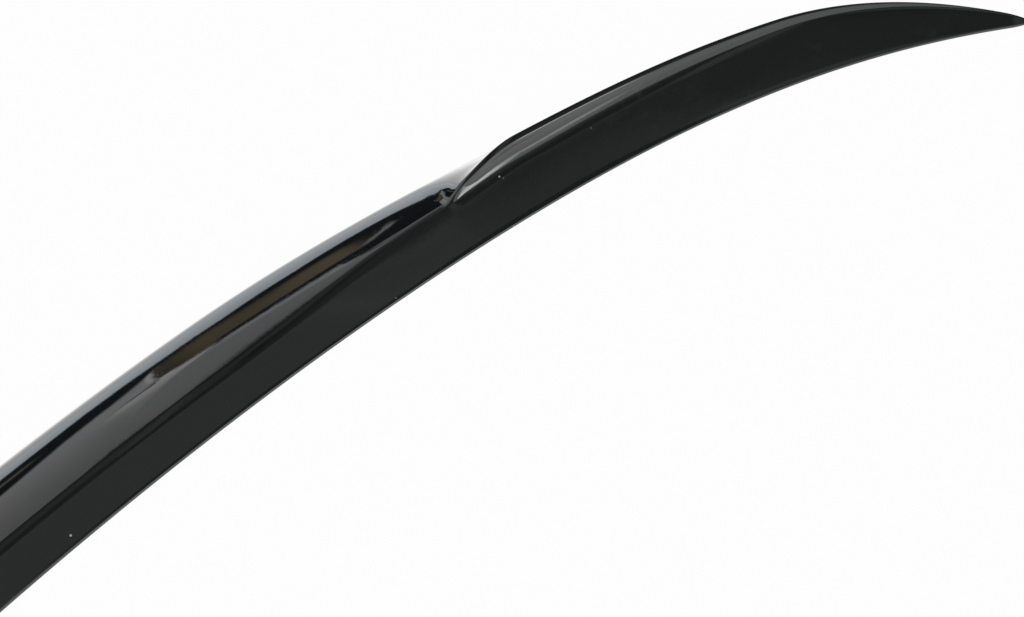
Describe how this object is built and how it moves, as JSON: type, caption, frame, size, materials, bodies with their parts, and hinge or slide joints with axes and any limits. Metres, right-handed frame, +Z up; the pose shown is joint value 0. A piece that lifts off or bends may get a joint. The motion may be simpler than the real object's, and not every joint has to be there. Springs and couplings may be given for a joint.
{
  "type": "car rear lip spoiler",
  "caption": "Low gloss black lip spoiler, bowed in plan, with a low rounded middle and raised side blades, on foam tape.",
  "frame": {"origin": "middle of the outline seen from above, at the height of the underside of the foam tape", "axes": "+X across the car from tip to tip, +Y to the rear of the car, +Z up; the ramp at the front faces -Y"},
  "size_m": [1.1528, 0.2046, 0.0229],
  "materials": {
    "shell": "gloss black paint over a moulded shell, bare matt plastic underneath",
    "tape": "closed-cell foam, matt"
  },
  "bodies": {
    "root": {"spoiler_shell": "shell", "front_tape": "tape", "rear_tape": "tape"}
  },
  "joints": []
}
